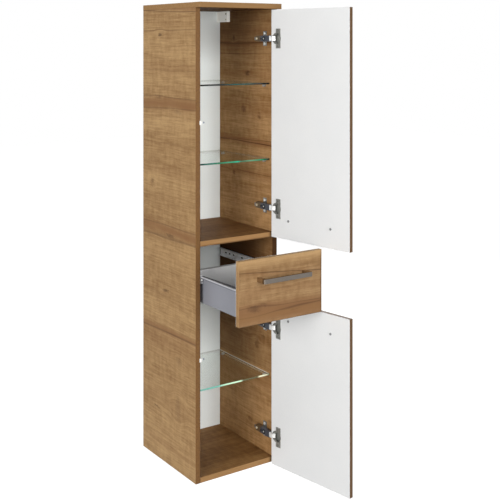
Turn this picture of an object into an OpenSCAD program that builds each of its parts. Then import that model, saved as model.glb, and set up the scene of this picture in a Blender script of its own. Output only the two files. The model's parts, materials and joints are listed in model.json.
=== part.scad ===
// Wall-hung bathroom cabinet, mid height: a narrow oak carcass with a door above, a drawer in the middle and
// a door below, three glass shelves behind the doors, and a handle on each front. Everything is in millimetres.
// X runs to the right seen from the front, Y runs to the wall (the wall is the plane Y = 0), Z runs up.
// The part stands at rest as it is in the picture: both doors swung open and the drawer pulled out.

/* [Body] */
// width over both side panels
body_w = 300; // [280:1:400]
// height from the underside to the top of the top board
body_h = 1410; // [1380:1:1500]
// depth of the side panels, from their front edge to the wall
body_d = 306; // [300:1:340]
// how far the top board stands out in front of the side panels
top_overhang = 23; // [20:0.5:30]
// thickness of the carcass boards
panel_t = 16; // [15:0.5:18]
// thickness of the back panel
back_t = 4; // [3:0.5:5]
// distance from the wall to the rear face of the back panel
back_inset = 17; // [15:0.5:20]
// depth of the grooves that hold the back panel
groove_deep = 8; // [5:0.5:9]
// play of the back panel in its grooves, on each face
groove_slack = 0.1; // [0.05:0.05:0.3]
// radius of the wooden dowels
dowel_r = 4; // [3:0.5:4]
// length of the wooden dowels
dowel_len = 26; // [20:1:28]
// play around a dowel
dowel_slack = 0.05; // [0.02:0.01:0.1]

/* [Fronts] */
// thickness of the doors and of the drawer front
front_t = 14; // [13.5:0.5:18]
// thickness of the white inner facing of the fronts, part of that thickness
facing_t = 0.6; // [0.4:0.1:1]
// gap between the carcass front edge and the closed fronts
close_gap = 2; // [1.5:0.1:3]
// gap between neighbouring fronts, one above the other
front_gap = 4; // [3:0.5:5]
// how far the fronts stay inside the cabinet width, on each side
side_reveal = 2; // [1.5:0.5:3]
// gap between the upper door and the top board
top_gap = 2; // [1.5:0.5:4]
// height of the lower door
lower_door_h = 507; // [500:1:512]
// height of the drawer front
drawer_front_h = 181; // [176:1:184]

/* [Glass shelves] */
// thickness of the glass
glass_t = 5; // [4:0.5:6]
// distance from the top board down to the upper glass shelf's underside
glass_1_down = 232; // [180:1:280]
// distance from the fixed shelf up to the middle glass shelf's underside
glass_2_up = 220; // [160:1:260]
// distance from the bottom board up to the lower glass shelf's underside
glass_3_up = 246; // [200:1:290]
// distance from the carcass front edge to the glass
glass_front = 14; // [8:1:16]
// gap between the glass and what is beside or behind it
glass_gap = 1; // [0.5:0.1:2]
// distance of the front row of fitting holes from the carcass front edge
row_front = 37; // [35:0.5:39]
// distance of the rear shelf supports from the back panel
pin_back = 24; // [20:1:50]
// radius of a shelf support's stud
pin_r = 2.5; // [2:0.1:3]
// radius of a shelf support's head
pin_head_r = 4; // [3.5:0.1:5]
// how far a shelf support stands out from the side panel
pin_out = 9; // [6:0.5:10]
// play around a stud or a screw in its hole
fit_slack = 0.05; // [0.02:0.01:0.1]

/* [Hinges] */
// angle the doors stand open at rest
door_open = 100; // [96:0.5:104]
// angle the hinge link has turned at that opening
link_turn = 71; // [69:0.5:73]
// distance of a hinge's middle from the nearest end of its door
hinge_inset = 88.5; // [80:0.5:100]
// distance of the arm pin from the cabinet side
arm_pin_in = 30; // [29:0.5:31]
// distance of the cup pin from the cabinet side, door shut
cup_pin_in = 13; // [12.5:0.5:13.5]
// how far both pins lie in front of the carcass front edge, door shut
pin_ahead = 4.5; // [4.3:0.1:4.8]
// radius of both hinge pins
hinge_pin_r = 1.5; // [1.2:0.1:1.6]
// running play around a hinge pin, on the radius
pin_play = 0.05; // [0.02:0.01:0.08]
// radius of the bore for the hinge cup
cup_r = 17.5; // [17:0.1:18]
// depth of that bore
cup_deep = 11.5; // [11.4:0.1:11.8]
// wood left between the door's edge and the cup bore
cup_edge = 3; // [2.5:0.5:3.5]
// sheet thickness of the cup
cup_sheet = 0.8; // [0.6:0.1:1]
// height of the cup's flange
flange_h = 60; // [56:1:66]
// width of the flange's two wings
flange_w = 18; // [16:0.5:20]
// how far the flange's open nose reaches from the cup's middle towards the door's edge
nose_out = 15.2; // [14.5:0.1:15.6]
// width of the nose's opening, in which the link moves
nose_gap = 14; // [14:0.1:15]
// half the spacing of the two flange screws
flange_screw_z = 24; // [23:0.5:25]
// width of the hinge link across the pins
link_w = 13; // [11:0.5:14]
// thickness of the link's sheet
link_t = 2; // [1.6:0.1:2.2]
// how deep the link's bend reaches past the line of its pins
link_bend = 6.2; // [5.8:0.1:6.4]
// width of the hinge arm
arm_w = 18; // [17:0.5:18.5]
// length of the hinge arm behind the carcass front edge
arm_len = 62; // [58:1:70]
// height of the mounting plate across its wings
plate_h = 46; // [44:1:52]
// width of the plate's wings
plate_w = 16; // [14:0.5:18]
// half the spacing of the plate's two screws
plate_screw_z = 16; // [15.5:0.5:17]
// length of the tongue that carries the arm
tongue_len = 46; // [42:1:50]
// distance from the row of fitting holes to the arm's adjusting screw, towards the front
arm_screw_a = 3; // [2:0.5:4]
// distance from the row of fitting holes to the arm's fixing screw, towards the rear
arm_screw_b = 19; // [16:0.5:21]

/* [Drawer] */
// how far the drawer is pulled out at rest
drawer_out = 194.5; // [150:0.5:222]
// height of the drawer's steel sides
drawer_side_h = 80; // [76:1:86]
// height of the steel sides' underside above the drawer front's lower edge
drawer_up = 13.5; // [11:0.5:15]
// length of the drawer's steel sides
drawer_len = 272; // [262:1:273]
// sheet thickness of sides and rails
sheet = 1.2; // [1:0.1:1.4]
// distance from the side panel to the drawer's steel side
side_space = 12.6; // [12.4:0.1:13]
// thickness of the drawer's bottom board
drawer_floor_t = 16; // [12:0.5:16]
// thickness of the drawer's back board
drawer_back_t = 14; // [12:0.5:16]
// how far the back board stands above the steel sides
drawer_back_up = 2.5; // [0:0.5:6]
// height of the rails on the side panels
rail_h = 23; // [22.6:0.1:24]
// how far the rails stand out from the side panels
rail_w = 11; // [10.5:0.1:11]
// height of the rails' underside above the drawer's underside
rail_up = 59.5; // [59.5:0.1:59.8]
// length of the rails
rail_len = 277; // [276:0.5:279]
// distance from the front row of fitting holes to the rails' middle screw
rail_screw_b = 96; // [94:0.5:98]
// distance from the front row of fitting holes to the rails' rear screw
rail_screw_c = 224; // [222:0.5:226]
// how far the reinforced front end of the drawer's sides rises above them
side_rise = 5.5; // [3:0.5:7]
// length of the brackets' raised arms
bracket_arm = 160; // [140:5:180]
// length of the brackets' full-height plate behind the drawer front
bracket_plate = 46; // [42:1:50]
// height of the brackets' screw flange
bracket_flange_h = 47; // [44:1:50]
// width of the brackets' screw flange
bracket_flange_w = 20; // [18:0.5:22]
// length of the screws in the drawer's back board
back_screw_len = 15; // [13:0.5:18]
// radius of the rail's front roller
front_roller_r = 7.5; // [7:0.1:8]
// radius of the drawer's rear roller
rear_roller_r = 10; // [9.7:0.1:10.1]
// width of the rollers
roller_w = 6; // [5:0.5:6]
// radius of the roller axles
axle_r = 2; // [1.5:0.1:2.5]
// running play between roller and axle, on the radius
axle_play = 0.06; // [0.03:0.01:0.09]
// play between a roller and the track it runs on
track_play = 0.1; // [0.05:0.05:0.2]

/* [Handles] */
// length of a handle's bar
handle_len = 172; // [168:1:200]
// spacing of a handle's two screws
handle_pitch = 160; // [128:1:160]
// height of the bar
handle_h = 13; // [10:0.5:16]
// thickness of the bar
handle_t = 7; // [5:0.5:9]
// how far a handle stands out from its front
handle_out = 34; // [28:1:40]
// size of the cut corners at a handle's outer ends
handle_cut = 2.5; // [1:0.5:4]
// distance of a handle's middle from the nearest end of its front
handle_inset = 56.5; // [45:0.5:70]
// radius of the handle screws
handle_screw_r = 2; // [1.6:0.1:2.4]

/* [Wall hangers] */
// height of a hanger's housing
hanger_h = 35; // [32:1:40]
// depth of a hanger's housing in front of the back panel
hanger_d = 58; // [50:1:64]
// width of a hanger's housing
hanger_w = 12; // [11:0.5:14]
// sheet thickness of the hanger's hook
hook_t = 2.5; // [2:0.1:3]
// height of the hanger's hook
hook_h = 16; // [14:0.5:18]

/* [Door buffers] */
// height of a door buffer
buffer_h = 12; // [10:0.5:14]
// thickness of a door buffer's pad
buffer_t = 1.2; // [1:0.1:1.3]
// height of the buffers above the lower edge of their door
buffer_up = 359.5; // [340:0.5:380]

/* [Hidden] */
$fn = 48;
xl = -body_w / 2;
xr = body_w / 2;
xi = xr - panel_t;
yf = -body_d;
side_top = body_h - panel_t;
back_y = -(back_inset + back_t);
inner_w = body_w - 2 * panel_t;
front_w = body_w - 2 * side_reveal;
drawer_front_z = lower_door_h + front_gap;
mid_shelf_z = drawer_front_z + drawer_front_h;
upper_z = mid_shelf_z + front_gap;
drawer_z = drawer_front_z + drawer_up;
upper_top = side_top - top_gap;
upper_h = upper_top - upper_z;
lower_top = lower_door_h;
core_t = front_t - facing_t;
front_in = yf - close_gap;
door_edge = xr - side_reveal;
upper_hinges = [upper_z + hinge_inset, upper_top - hinge_inset];
lower_hinges = [hinge_inset, lower_top - hinge_inset];
all_hinges = [lower_hinges[0], lower_hinges[1], upper_hinges[0], upper_hinges[1]];
arm_x = xr - arm_pin_in;
pins_y = yf - pin_ahead;
cup_pin_x = xr - cup_pin_in;
link_len = arm_pin_in - cup_pin_in;
open_x = arm_x + link_len * cos(link_turn);
open_y = pins_y - link_len * sin(link_turn);
cup_x = door_edge - cup_edge - cup_r;
flange_x = cup_x - 7.3;
arm_back = arm_x - 5;
glass_z = [side_top - glass_1_down, mid_shelf_z + panel_t + glass_2_up, panel_t + glass_3_up];
row_y = yf + row_front;
pin_y = [row_y, back_y - pin_back];
arm_screw_y = [row_y - arm_screw_a, row_y + arm_screw_b];
tongue_y = row_y + plate_w / 2 - 21;
buffer_z = [upper_z + buffer_up, buffer_up];
dowel_hole = dowel_len / 2 + 0.5;
wall_in = xi - side_space;
track_z = drawer_z + drawer_side_h;
rail_z = drawer_z + rail_up;
rail_y = yf + 3;
roller_x = xi - 4 - roller_w;
front_roller_y = yf + 8;
front_roller_z = track_z - sheet - track_play - front_roller_r;
rear_roller_y = front_in + drawer_len - 4;
rear_roller_z = rail_z + sheet + track_play + rear_roller_r;
lip_len = drawer_len - 24;
back_in = front_in + drawer_len - 3 - drawer_back_t;
back_screw_y = back_in + drawer_back_t / 2;
back_screw_z = [26, 56];
bracket_z = [22, 60];
rivet_y = [12, 36];
rivet_z = 66;
rail_screw_y = [row_y, row_y + rail_screw_b, row_y + rail_screw_c];
handle_z = [upper_z + handle_inset, drawer_front_z + drawer_front_h - handle_inset, lower_top - handle_inset];
hook_x = xi - hanger_w / 2 - hook_t / 2;
hook_z = side_top - hanger_h / 2;
hook_y = back_y - hanger_d + 16;

// Helpers

// a bar of length l and radius r that starts at the origin and runs along +X, +Y or +Z
module rod_x(r, l) { rotate([0, 90, 0]) cylinder(r = r, h = l); }
module rod_y(r, l) { rotate([-90, 0, 0]) cylinder(r = r, h = l); }
// both sides of the cabinet: the shape and its mirror image
module both() { children(); mirror([1, 0, 0]) children(); }
// the place a door takes when it stands open: it is drawn shut and turned about the cup pins
module swung() {
  translate([open_x, open_y, 0]) rotate([0, 0, door_open]) translate([-cup_pin_x, -pins_y, 0]) children();
}
// the place of the hinge links at that opening
module linked() {
  translate([arm_x, pins_y, 0]) rotate([0, 0, -link_turn]) translate([-arm_x, -pins_y, 0]) children();
}
// the place of the pulled-out drawer
module pulled() { translate([0, -drawer_out, 0]) children(); }
// a screw that points along +Z with its head's top at z = 0 and a crossed slot in it
module screw(r, l, head_r, head_h) {
  difference() {
    union() {
      cylinder(r = head_r, h = head_h);
      cylinder(r = r, h = l);
    }
    translate([-head_r * 0.55, -head_r * 0.12, -1]) cube([head_r * 1.1, head_r * 0.24, 1 + head_h * 0.6]);
    translate([-head_r * 0.12, -head_r * 0.55, -1]) cube([head_r * 0.24, head_r * 1.1, 1 + head_h * 0.6]);
  }
}

// Carcass

module dowel_rows() {
  for (y = [yf + 40, yf + body_d / 2, back_y - 30]) {
    for (z = [panel_t / 2, mid_shelf_z + panel_t / 2])
      translate([xi, y, z]) children(0);
    translate([xi + panel_t / 2, y, side_top]) children(1);
  }
}
module side_board() {
  difference() {
    translate([xi, yf, 0]) cube([panel_t, body_d, side_top]);
    translate([xi - 1, back_y - groove_slack, panel_t - groove_deep])
      cube([1 + groove_deep, back_t + 2 * groove_slack, body_h]);
    dowel_rows() {
      rotate([0, 90, 0]) translate([0, 0, -1]) cylinder(r = dowel_r + dowel_slack, h = 1 + panel_t * 0.75);
      translate([0, 0, -dowel_hole]) cylinder(r = dowel_r + dowel_slack, h = dowel_hole + 1);
    }
    for (z = glass_z) for (y = pin_y)
      translate([xi - 1, y, z - pin_head_r]) rod_x(pin_r + fit_slack, 11);
    for (y = rail_screw_y)
      translate([xi - 1, y, rail_z + rail_h / 2]) rod_x(1.6 + fit_slack, 13);
    for (y = [back_y - 15, back_y - hanger_d + 13])
      translate([xi - 1, y, hook_z]) rod_x(5 + fit_slack, 11);
  }
}
module side_panel_left() color([0.66, 0.5, 0.33]) mirror([1, 0, 0]) difference() {
  side_board();
  for (z = buffer_z) translate([xi - 1, yf + 5, z]) rod_x(1.5 + fit_slack, 9.5);
}
module side_panel_right() color([0.66, 0.5, 0.33]) difference() {
  side_board();
  for (z = all_hinges) for (s = [-1, 1])
    translate([xi - 1, row_y, z + s * plate_screw_z]) rod_x(2 + fit_slack, 12);
}
module top_board() color([0.66, 0.5, 0.33]) difference() {
  translate([xl, yf - top_overhang, side_top]) cube([body_w, body_d + top_overhang, panel_t]);
  translate([xl + panel_t - groove_deep, back_y - groove_slack, side_top - 1])
    cube([inner_w + 2 * groove_deep, back_t + 2 * groove_slack, 1 + groove_deep]);
  both() for (y = [yf + 40, yf + body_d / 2, back_y - 30])
    translate([xi + panel_t / 2, y, side_top - 1]) cylinder(r = dowel_r + dowel_slack, h = dowel_hole + 1);
}
module bored_board(z, y0, y1) {
  difference() {
    translate([-xi, y0, z]) cube([2 * xi, y1 - y0, panel_t]);
    both() for (y = [yf + 40, yf + body_d / 2, back_y - 30])
      translate([xi + 1, y, z + panel_t / 2]) rotate([0, -90, 0])
        cylinder(r = dowel_r + dowel_slack, h = 1 + dowel_hole + 2);
  }
}
module bottom_board() color([0.66, 0.5, 0.33]) difference() {
  bored_board(0, yf, 0);
  translate([-xi - 1, back_y - groove_slack, panel_t - groove_deep])
    cube([2 * xi + 2, back_t + 2 * groove_slack, body_h]);
}
module mid_shelf() color([0.6, 0.45, 0.29]) bored_board(mid_shelf_z, yf, back_y - groove_slack);
module back_panel() color([0.82, 0.82, 0.8]) difference() {
  translate([xl + panel_t - groove_deep + 0.5, back_y, panel_t - groove_deep + 0.5])
    cube([inner_w + 2 * groove_deep - 1, back_t, side_top - panel_t + 2 * groove_deep - 1]);
  both() translate([xi - hanger_w / 2 - 4, back_y - 1, hook_z - 13]) cube([8, back_t + 2, 26]);
}
module panel_dowels() color([0.85, 0.72, 0.5]) both() {
  dowel_rows() {
    translate([panel_t * 0.75 - 0.5 - dowel_len, 0, 0]) rod_x(dowel_r, dowel_len);
    translate([0, 0, -dowel_len / 2]) cylinder(r = dowel_r, h = dowel_len);
  }
}

// Glass shelves

module glass_shelf(z) color([0.75, 0.9, 0.85, 0.35]) {
  translate([-xi + glass_gap, yf + glass_front, z])
    cube([2 * (xi - glass_gap), back_y - glass_gap - yf - glass_front, glass_t]);
}
module glass_shelf_top() glass_shelf(glass_z[0]);
module glass_shelf_middle() glass_shelf(glass_z[1]);
module glass_shelf_lower() glass_shelf(glass_z[2]);
// a stud in the side panel and a thicker head, whose top carries the glass
module shelf_supports() color([0.75, 0.75, 0.75]) {
  both() for (z = glass_z) for (y = pin_y) translate([xi, y, z - pin_head_r]) {
    rod_x(pin_r, 9);
    translate([-pin_out, 0, 0]) rod_x(pin_head_r, pin_out);
  }
}

// Wall hangers: a plastic housing in each upper rear corner, a steel hook through the back panel, two screws

module hanger_housings() color([0.9, 0.9, 0.88]) both() {
  difference() {
    union() {
      translate([xi - hanger_w, back_y - hanger_d, side_top - hanger_h]) cube([hanger_w, hanger_d, hanger_h]);
      for (y = [back_y - 15, back_y - hanger_d + 13]) translate([xi, y, hook_z]) rod_x(5, 9.5);
    }
    // the channel the hook slides in, open to the rear
    translate([xi - hanger_w / 2 - hook_t / 2 - 0.3, back_y - hanger_d + 14, hook_z - hook_h / 2 - 3])
      cube([hook_t + 0.6, hanger_d, hook_h + 6]);
    for (z = [-9, 9]) translate([xi - hanger_w - 1, back_y - hanger_d + 7, hook_z + z]) rod_x(3 + fit_slack, 7);
  }
}
module hanger_hooks() color([0.7, 0.7, 0.72]) both() {
  translate([hook_x, 0, hook_z]) rotate([90, 0, 90]) linear_extrude(height = hook_t)
    polygon([[hook_y, -hook_h / 2], [hook_y, hook_h / 2], [-3, hook_h / 2], [-3, -hook_h / 2 - 2],
      [-6, -hook_h / 2 - 2], [-6, 0], [-9, 0], [back_y + back_t / 2, 0],
      [back_y + (back_t - hook_h) / 2, -hook_h / 2]]);
}
module hanger_screws() color([0.6, 0.6, 0.62]) both() {
  for (z = [-9, 9]) translate([xi - hanger_w + 0.4, back_y - hanger_d + 7, hook_z + z])
    rotate([0, 90, 0]) screw(1.5, 4.5, 3, 1.8);
}

// Hinges on the right side panel

// a mounting plate: a cross of a long tongue and two wings, screwed to the side panel
module hinge_plates() color([0.72, 0.72, 0.7]) for (z = all_hinges) translate([0, 0, z]) {
  difference() {
    union() {
      translate([xi - 2.5, row_y - plate_w / 2, -plate_h / 2]) cube([2.5, plate_w, plate_h]);
      translate([arm_back + 1.5, tongue_y, -5]) cube([xi - arm_back - 1.5, tongue_len, 10]);
    }
    for (s = [-1, 1]) translate([xi - 3, row_y, s * plate_screw_z]) rod_x(2.2, 4);
    for (y = arm_screw_y) translate([arm_back, y, 0]) rod_x(1.6 + fit_slack, xi - arm_back - 1.8);
  }
}
module hinge_plate_screws() color([0.8, 0.8, 0.8]) for (z = all_hinges) for (s = [-1, 1])
  translate([xi - 2.5 - 1.8, row_y, z + s * plate_screw_z]) rotate([0, 90, 0]) screw(2, 13, 4, 1.8);
// the arm: a steel channel over the plate, open to the side panel, that reaches out to the arm pin
module hinge_arms() color([0.78, 0.78, 0.78]) for (z = all_hinges) translate([0, 0, z]) difference() {
  union() {
    translate([arm_back, pins_y, -arm_w / 2]) cube([1.5, arm_len - pins_y + yf, arm_w]);
    for (s = [-1, 1]) translate([0, 0, s * (arm_w / 2 - 0.75) - 0.75]) {
      translate([arm_x, pins_y, 0]) cylinder(r = 4, h = 1.5);
      translate([arm_back, pins_y, 0]) cube([9, 24 - pins_y + yf, 1.5]);
      translate([arm_back, yf + 20, 0]) cube([13.5, arm_len - 20, 1.5]);
    }
  }
  translate([arm_x, pins_y, -arm_w]) cylinder(r = hinge_pin_r, h = 2 * arm_w);
  for (y = arm_screw_y) translate([arm_back - 1, y, 0]) rod_x(2.2, 4);
}
// the fixing screw and the side adjusting screw of each arm
module hinge_arm_screws() color([0.55, 0.55, 0.56]) for (z = all_hinges) {
  for (y = arm_screw_y) translate([arm_back - 1.6, y, z])
    rotate([0, 90, 0]) screw(1.6, xi - arm_back - 1.4, 3.4, 1.6);
}
module hinge_arm_pins() color([0.7, 0.7, 0.7]) for (z = all_hinges)
  translate([arm_x, pins_y, z - arm_w / 2]) cylinder(r = hinge_pin_r, h = arm_w);
// a link: bent sheet with an eye round each pin, drawn with the door shut
module hinge_link() {
  b = link_t / 2;
  difference() {
    union() {
      translate([0, 0, -link_w / 2]) linear_extrude(height = link_w) polygon([
        [cup_pin_x + b, pins_y], [cup_pin_x - 3.5, pins_y - link_bend - b],
        [arm_x + 4.9, pins_y - link_bend - b], [arm_x - b, pins_y],
        [arm_x + b + 0.6, pins_y + 0.4], [arm_x + 6.2, pins_y - link_bend + b],
        [cup_pin_x - 5.2, pins_y - link_bend + b], [cup_pin_x - b - 0.6, pins_y + 0.4]]);
      translate([cup_pin_x, pins_y, -link_w / 2]) cylinder(r = 2.4, h = link_w);
      translate([arm_x, pins_y, -arm_w / 2 + 1.7]) cylinder(r = 3, h = arm_w - 3.4);
    }
    for (x = [arm_x, cup_pin_x])
      translate([x, pins_y, -arm_w]) cylinder(r = hinge_pin_r + pin_play, h = 2 * arm_w);
  }
}
module hinge_links_upper() color([0.82, 0.82, 0.8]) linked() for (z = upper_hinges) translate([0, 0, z]) hinge_link();
module hinge_links_lower() color([0.82, 0.82, 0.8]) linked() for (z = lower_hinges) translate([0, 0, z]) hinge_link();

// Doors, drawn shut and swung open as one

module front_board(z, h, cups) {
  difference() {
    translate([-front_w / 2, front_in - front_t, z]) cube([front_w, core_t, h]);
    for (c = cups) {
      translate([cup_x, front_in - cup_deep, c]) rod_y(cup_r, cup_deep + 1);
      for (s = [-1, 1]) translate([flange_x, front_in - 10, c + s * flange_screw_z]) rod_y(1.5 + fit_slack, 11);
    }
  }
}
module facing(z, h, cups) {
  difference() {
    translate([-front_w / 2, front_in - facing_t, z]) cube([front_w, facing_t, h]);
    for (c = cups) {
      translate([cup_x, front_in - 2, c]) rod_y(cup_r, 3);
      for (s = [-1, 1]) translate([flange_x, front_in - 2, c + s * flange_screw_z]) rod_y(1.5 + fit_slack, 3);
    }
  }
}
// the holes for a handle's screws, right through a front
module handle_holes(z) {
  for (s = [-1, 1]) translate([s * handle_pitch / 2, front_in - front_t - 1, z])
    rod_y(handle_screw_r + 0.25, front_t + 2);
}
// a cup of sheet steel: flange with two wings and an open nose, wall, floor and the holes for its pin
module cup(z) translate([cup_x, front_in, z]) difference() {
  union() {
    difference() {
      union() {
        translate([0, 0.01 - cup_deep, 0]) rod_y(cup_r - fit_slack, cup_deep + 0.2);
        translate([flange_x - cup_x - flange_w / 2, 0, -flange_h / 2]) cube([flange_w, 1, flange_h]);
      }
      translate([0, cup_sheet + 0.01 - cup_deep, 0]) rod_y(cup_r - fit_slack - cup_sheet, cup_deep + 2);
    }
    for (m = [0, 1]) mirror([0, 0, m]) translate([0, 1, 0]) rotate([90, 0, 0]) linear_extrude(height = 1)
      polygon([[-1.5, cup_r - 4.5], [-1.5, cup_r + 0.5], [1.6, cup_r], [nose_out, nose_gap / 2 + 1.2],
        [nose_out, nose_gap / 2], [9, nose_gap / 2]]);
  }
  for (s = [-1, 1]) translate([flange_x - cup_x, -1, s * flange_screw_z]) rod_y(1.7, 3);
  translate([cup_pin_x - cup_x, pins_y - front_in, -cup_r]) cylinder(r = hinge_pin_r, h = 2 * cup_r);
}
module cup_pin(z) translate([cup_pin_x, pins_y, z - cup_r + 4]) cylinder(r = hinge_pin_r, h = 2 * cup_r - 8);
module cup_screw(z) for (s = [-1, 1]) translate([flange_x, front_in + 2.2, z + s * flange_screw_z])
  rotate([90, 0, 0]) screw(1.5, 11.2, 3.2, 1.2);
// a bar on two legs, drawn as one plate with cut ends and extruded upwards
module handle(z) {
  a = handle_len / 2;
  y0 = front_in - front_t;
  y1 = y0 - handle_out;
  leg = (handle_len - handle_pitch) / 2 + 5;
  difference() {
    translate([0, 0, z - handle_h / 2]) linear_extrude(height = handle_h) polygon([
      [-a, y0], [-a, y1 + handle_cut], [-a + handle_cut, y1], [a - handle_cut, y1], [a, y1 + handle_cut], [a, y0],
      [a - leg, y0], [a - leg, y1 + handle_t], [-a + leg, y1 + handle_t], [-a + leg, y0]]);
    for (s = [-1, 1]) translate([s * handle_pitch / 2, y0 - 12, z]) rod_y(handle_screw_r + fit_slack, 13);
  }
}
// screws through a front into a handle's legs, heads on the inner face
module handle_screws(z) for (s = [-1, 1]) translate([s * handle_pitch / 2, front_in + 1.6, z])
  rotate([90, 0, 0]) screw(handle_screw_r, front_t + 12.5, 3.6, 1.6);

module door_upper() color([0.66, 0.5, 0.33]) swung() difference() {
  front_board(upper_z, upper_h, upper_hinges);
  handle_holes(handle_z[0]);
}
module door_upper_facing() color([0.9, 0.9, 0.89]) swung() difference() {
  facing(upper_z, upper_h, upper_hinges);
  handle_holes(handle_z[0]);
}
module hinge_cups_upper() color([0.62, 0.62, 0.6]) swung() for (z = upper_hinges) cup(z);
module cup_pins_upper() color([0.7, 0.7, 0.7]) swung() for (z = upper_hinges) cup_pin(z);
module cup_screws_upper() color([0.8, 0.8, 0.8]) swung() for (z = upper_hinges) cup_screw(z);
module handle_upper() color([0.58, 0.58, 0.58]) swung() handle(handle_z[0]);
module handle_screws_upper() color([0.75, 0.75, 0.75]) swung() handle_screws(handle_z[0]);

module door_lower() color([0.66, 0.5, 0.33]) swung() difference() {
  front_board(0, lower_door_h, lower_hinges);
  handle_holes(handle_z[2]);
}
module door_lower_facing() color([0.9, 0.9, 0.89]) swung() difference() {
  facing(0, lower_door_h, lower_hinges);
  handle_holes(handle_z[2]);
}
module hinge_cups_lower() color([0.62, 0.62, 0.6]) swung() for (z = lower_hinges) cup(z);
module cup_pins_lower() color([0.7, 0.7, 0.7]) swung() for (z = lower_hinges) cup_pin(z);
module cup_screws_lower() color([0.8, 0.8, 0.8]) swung() for (z = lower_hinges) cup_screw(z);
module handle_lower() color([0.58, 0.58, 0.58]) swung() handle(handle_z[2]);
module handle_screws_lower() color([0.75, 0.75, 0.75]) swung() handle_screws(handle_z[2]);

// Drawer runners: a C-shaped rail on each side panel with a roller at its front end. The drawer's steel side
// has an inverted channel along its top that runs on that roller, and a roller at its rear that runs in the rail.

module rail() {
  difference() {
    translate([xi - rail_w, rail_y, rail_z]) cube([rail_w, rail_len, rail_h]);
    translate([xi - rail_w - 1, rail_y - 1, rail_z + sheet])
      cube([rail_w + 1 - sheet, rail_len + 2, rail_h - 2 * sheet]);
    for (y = rail_screw_y) translate([xi - 3, y, rail_z + rail_h / 2]) rod_x(1.6 + 0.4, 4);
    for (y = [60, 95, 154, 200, 222, 243]) translate([xi - 3, rail_y + y, rail_z + rail_h / 2]) {
      rod_x(2.3, 4);
      translate([0, 0, -2.3]) cube([4, 6, 4.6]);
      translate([0, 6, 0]) rod_x(2.3, 4);
    }
    translate([xi - 3, front_roller_y, front_roller_z]) rod_x(axle_r, 4);
  }
}
module rail_left() color([0.74, 0.75, 0.77]) mirror([1, 0, 0]) rail();
module rail_right() color([0.74, 0.75, 0.77]) rail();
module rail_screws() color([0.8, 0.8, 0.8]) both() for (y = rail_screw_y)
  translate([xi - sheet - 1.2, y, rail_z + rail_h / 2]) rotate([0, 90, 0]) screw(1.6, 12.5, 2.8, 1.2);
// riveted axles of the front rollers, with a rim that keeps the roller on
module rail_axles() color([0.6, 0.6, 0.62]) both() translate([0, front_roller_y, front_roller_z]) {
  translate([roller_x - 0.4, 0, 0]) rod_x(axle_r, xi - roller_x + 0.4);
  translate([roller_x - 1.2, 0, 0]) rod_x(axle_r + 1.2, 1);
}
// a nylon roller with a hub hole, a recess in each face and a rounded-off rim
module roller(r, y, z) translate([roller_x, y, z]) difference() {
  union() {
    translate([0.6, 0, 0]) rod_x(r, roller_w - 1.2);
    rod_x(r - 0.6, roller_w);
  }
  translate([-1, 0, 0]) rod_x(axle_r + axle_play, roller_w + 2);
}
module front_roller_left() color([0.93, 0.93, 0.91]) mirror([1, 0, 0])
  roller(front_roller_r, front_roller_y, front_roller_z);
module front_roller_right() color([0.93, 0.93, 0.91])
  roller(front_roller_r, front_roller_y, front_roller_z);

// Drawer, drawn shut and pulled out as one

module drawer_front() color([0.66, 0.5, 0.33]) pulled() difference() {
  front_board(drawer_front_z, drawer_front_h, []);
  handle_holes(handle_z[1]);
  bracket_holes();
}
module drawer_front_facing() color([0.9, 0.9, 0.89]) pulled() difference() {
  facing(drawer_front_z, drawer_front_h, []);
  handle_holes(handle_z[1]);
  bracket_holes();
}
module bracket_holes() {
  both() for (z = bracket_z) translate([wall_in - 14, front_in - 10, drawer_z + z]) rod_y(1.6 + fit_slack, 11);
}
// the steel side: bottom flange, wall, and the inverted channel at the top; without the channel at the rear
module drawer_side() {
  difference() {
    union() {
      translate([wall_in - sheet, front_in, drawer_z]) cube([sheet, drawer_len, drawer_side_h]);
      translate([wall_in - 14, front_in, drawer_z]) cube([14, drawer_len, sheet]);
      translate([wall_in - sheet, front_in + 0.5, track_z - sheet]) cube([side_space + sheet - 2, lip_len, sheet]);
      translate([xi - 2 - sheet, front_in + 0.5, track_z - 5.7]) cube([sheet, lip_len, 5.7]);
    }
    translate([wall_in - sheet - 1, rear_roller_y, rear_roller_z]) rod_x(axle_r, sheet + 2);
    for (y = rivet_y) translate([wall_in - sheet - 1, front_in + y, drawer_z + rivet_z]) rod_x(1.6, sheet + 2);
    for (z = back_screw_z)
      translate([wall_in - sheet - 1, back_screw_y, drawer_z + z]) rod_x(1.6 + fit_slack, sheet + 2);
  }
}
module drawer_side_left() color([0.6, 0.6, 0.64]) mirror([1, 0, 0]) pulled() drawer_side();
module drawer_side_right() color([0.6, 0.6, 0.64]) pulled() drawer_side();
// the bracket between a steel side and the drawer front: a plate with a raised front end and a screw flange
module drawer_brackets() color([0.6, 0.6, 0.64]) pulled() both() difference() {
  union() {
    translate([wall_in - sheet - 1.5, 0, 0]) rotate([90, 0, 90]) linear_extrude(height = 1.5)
      polygon([[front_in, drawer_z + drawer_floor_t + 2],
        for (p = [[0, 1], [0.125, 0.95], [0.256, 0.76], [0.4375, 0.5], [0.62, 0.33], [0.8125, 0.14], [1, 0]])
          [front_in + bracket_arm * p[0], track_z + side_rise * p[1]],
        [front_in + bracket_arm, track_z - 12], [front_in + bracket_plate, track_z - 12],
        [front_in + bracket_plate, drawer_z + drawer_floor_t + 2]]);
    translate([wall_in - bracket_flange_w - 2, front_in, drawer_z + drawer_floor_t + 2])
      cube([bracket_flange_w, 1.5, bracket_flange_h]);
  }
  for (z = bracket_z) translate([wall_in - 14, front_in - 1, drawer_z + z]) rod_y(1.6 + fit_slack, 4);
  for (y = rivet_y) translate([wall_in - 4, front_in + y, drawer_z + rivet_z]) rod_x(1.6, 4);
}
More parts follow.
